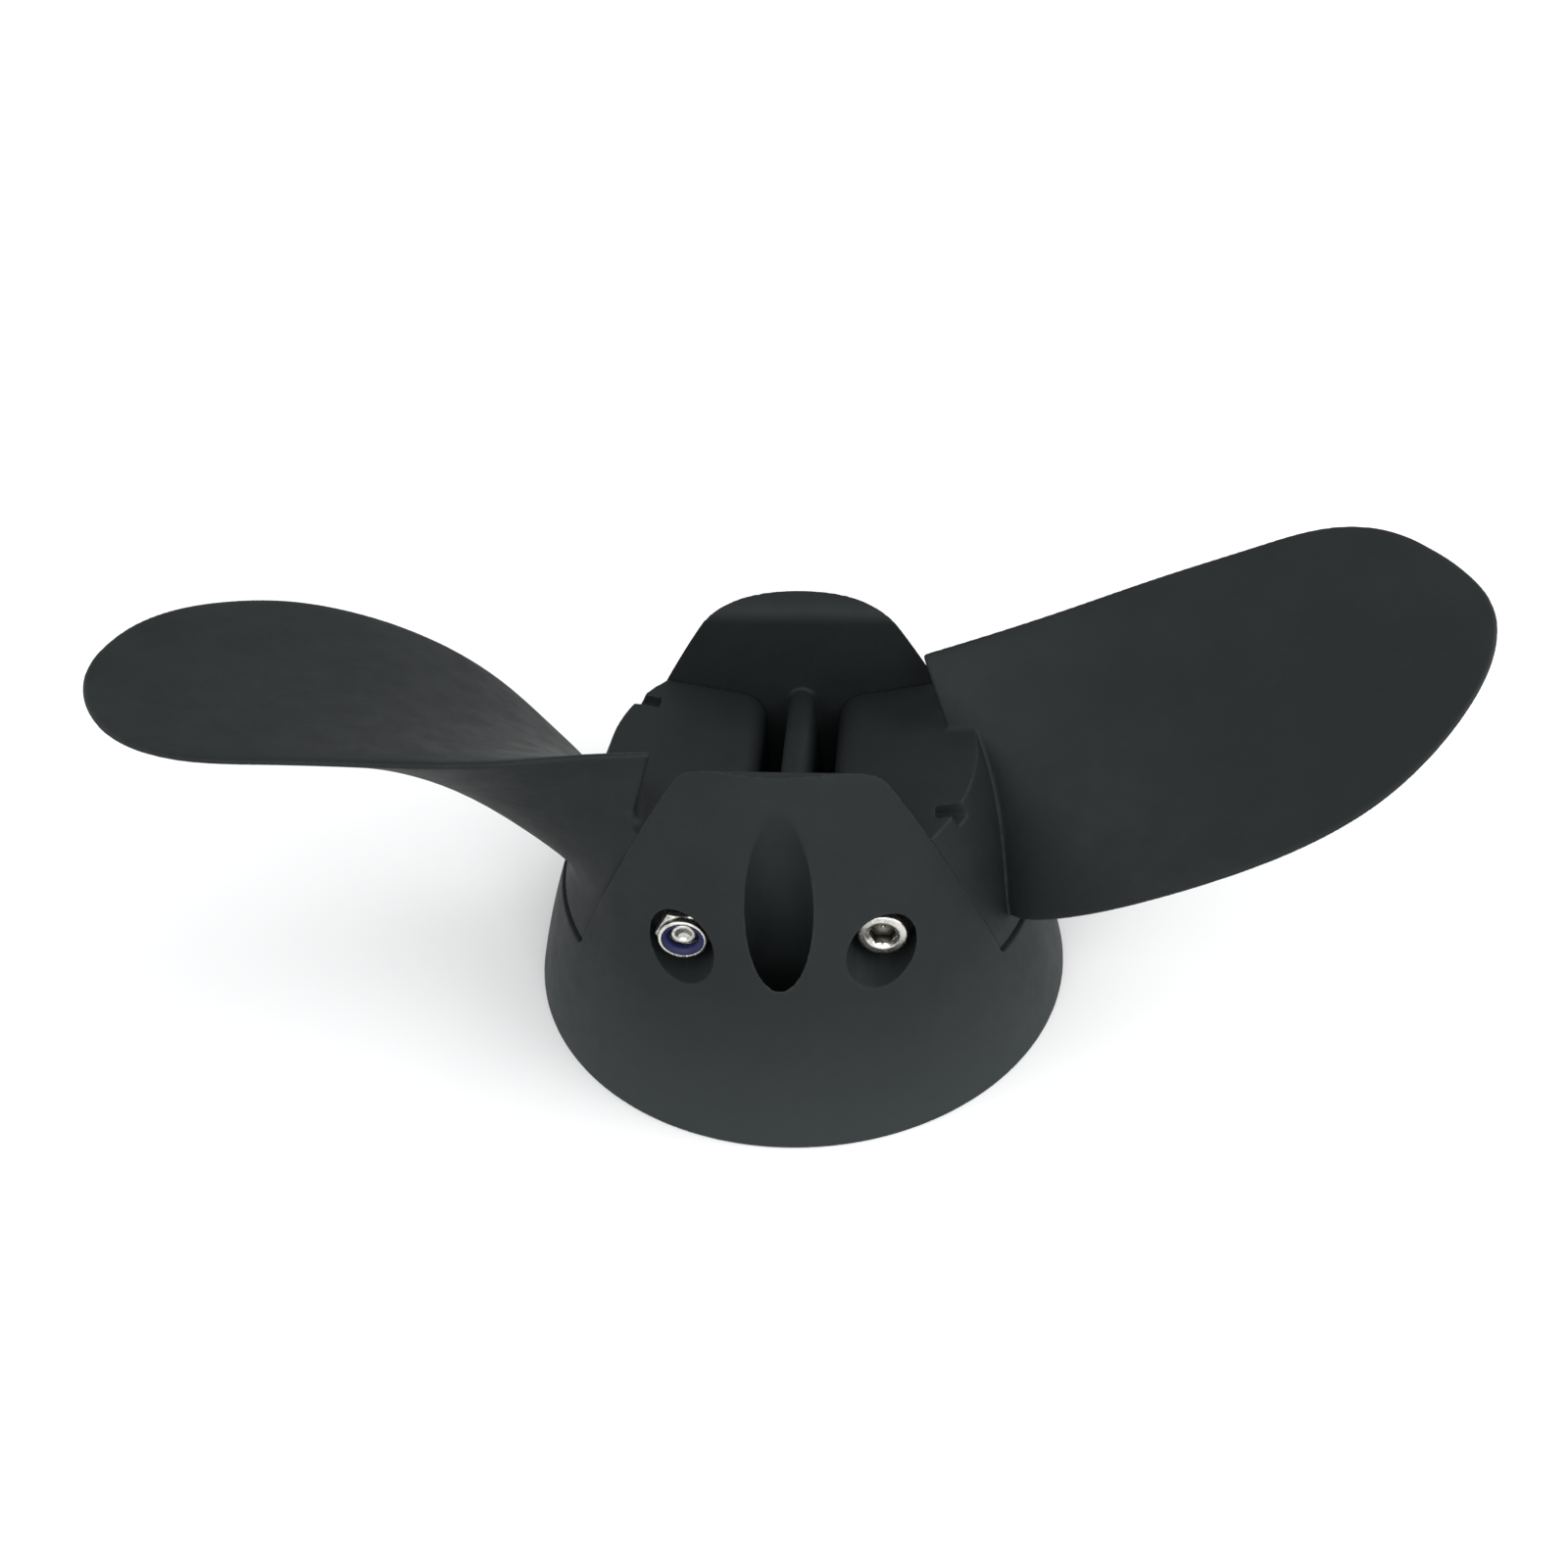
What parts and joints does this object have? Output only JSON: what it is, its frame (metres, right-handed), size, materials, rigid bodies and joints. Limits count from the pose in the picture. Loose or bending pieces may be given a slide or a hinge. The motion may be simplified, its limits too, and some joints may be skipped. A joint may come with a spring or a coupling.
{
  "type": "folding boat propeller",
  "caption": "Folding boat propeller: a conical moulded hub with a slot, and blades that fold aft on screws.",
  "frame": {"origin": "centre of the hub's base face, on the shaft axis", "axes": "+Z along the shaft axis towards the hub's narrow aft end, +X along the open blades, Y along the pivot screws"},
  "size_m": [0.2786, 0.1158, 0.087],
  "materials": {
    "black_composite": "semi-matte moulded",
    "stainless_steel": "machined",
    "blue_nylon": "satin"
  },
  "bodies": {
    "hub": {"hub_body": "black_composite", "pivot_screw_right": "stainless_steel", "pivot_screw_left": "stainless_steel", "lock_nut_right": "stainless_steel", "lock_nut_left": "stainless_steel", "nylon_ring_right": "blue_nylon", "nylon_ring_left": "blue_nylon"},
    "right_blade": {"blade_right": "black_composite"},
    "left_blade": {"blade_left": "black_composite"}
  },
  "joints": [
    {"name": "right_blade_fold", "type": "hinge", "parent": "hub", "child": "right_blade", "pos_m": [0.0198, 0, 0.0396], "axis": [0, -1, 0], "range_deg": [0, 70]},
    {"name": "left_blade_fold", "type": "hinge", "parent": "hub", "child": "left_blade", "pos_m": [-0.0198, 0, 0.0396], "axis": [0, 1, 0], "range_deg": [0, 70]}
  ]
}
